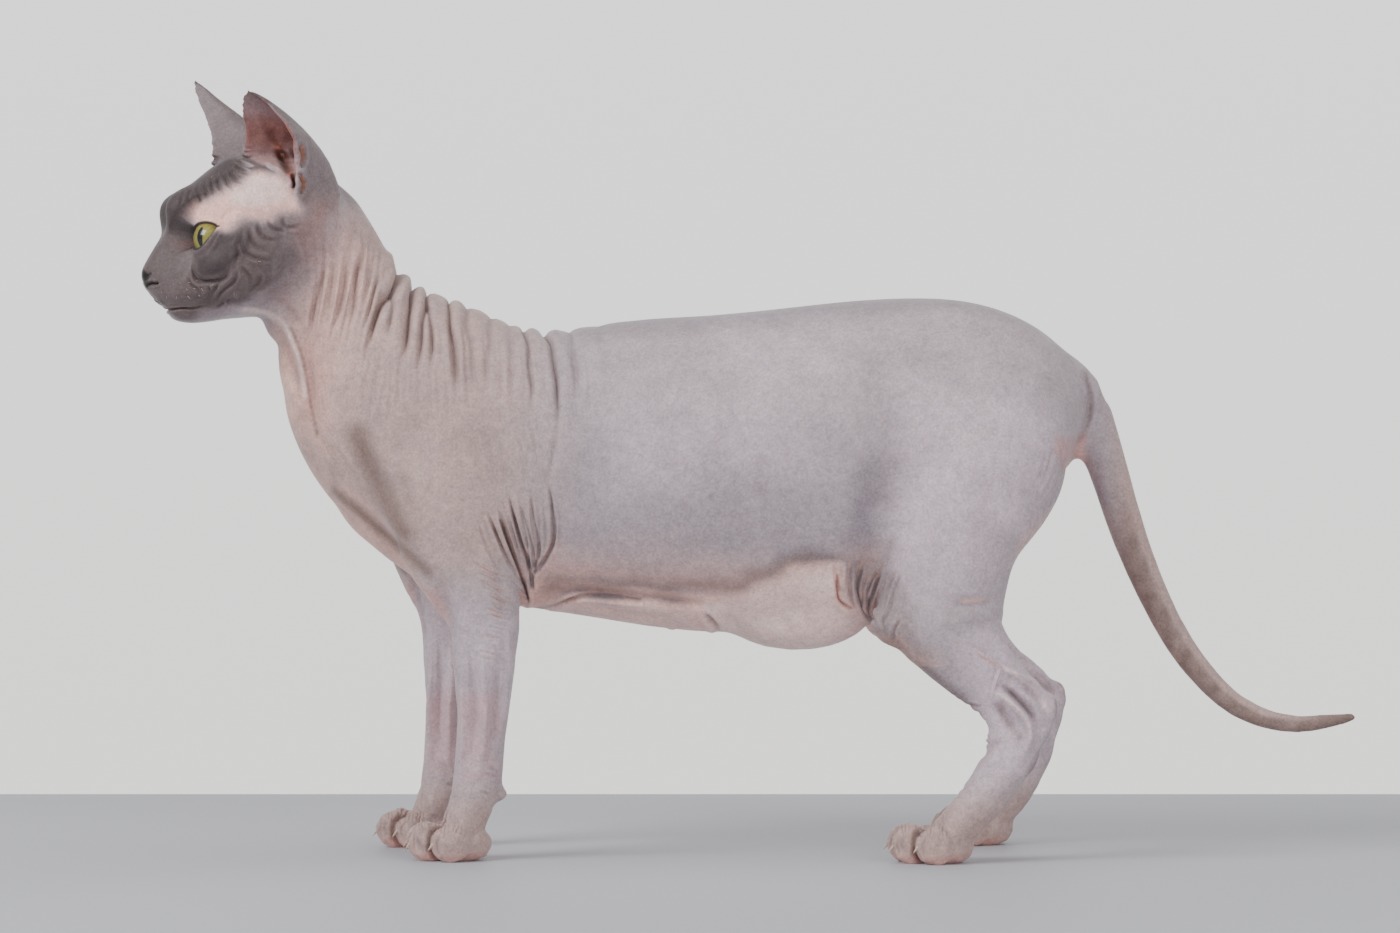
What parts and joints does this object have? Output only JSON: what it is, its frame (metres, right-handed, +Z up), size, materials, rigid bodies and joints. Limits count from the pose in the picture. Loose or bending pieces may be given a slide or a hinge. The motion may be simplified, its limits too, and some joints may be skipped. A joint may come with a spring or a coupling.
{
  "type": "sphynx cat",
  "caption": "Life-size standing hairless cat with large upright ears, wrinkled bare skin and a long thin tail, as a still display model.",
  "frame": {"origin": "on the floor, under the middle of the outline box from nose to tail tip and from side to side", "axes": "-X is the way the cat faces, -Y is its left side, +Z is up"},
  "size_m": [0.568, 0.1264, 0.367],
  "materials": {
    "skin_body": "bare, finely creased skin under a down too short to show, grey-lilac, satin",
    "skin_face": "dark grey-brown bare skin of the face, ears and tail, satin",
    "skin_paws": "pink-beige bare skin of the feet, satin",
    "eye": "wet, glossy yellow-green eye with a slit pupil"
  },
  "bodies": {
    "root": {"ear_left": "skin_face", "ear_right": "skin_face", "eye_left": "eye", "eye_right": "eye", "front_leg_left": "skin_body", "front_leg_right": "skin_body", "front_paw_left": "skin_paws", "front_paw_right": "skin_paws", "head": "skin_face", "hind_foot_left": "skin_paws", "hind_foot_right": "skin_paws", "hind_paw_left": "skin_paws", "hind_paw_right": "skin_paws", "hind_shank_left": "skin_body", "hind_shank_right": "skin_body", "hind_thigh_left": "skin_body", "hind_thigh_right": "skin_body", "neck": "skin_body", "tail_base": "skin_face", "tail_middle": "skin_face", "tail_tip": "skin_face", "torso": "skin_body"}
  },
  "joints": []
}
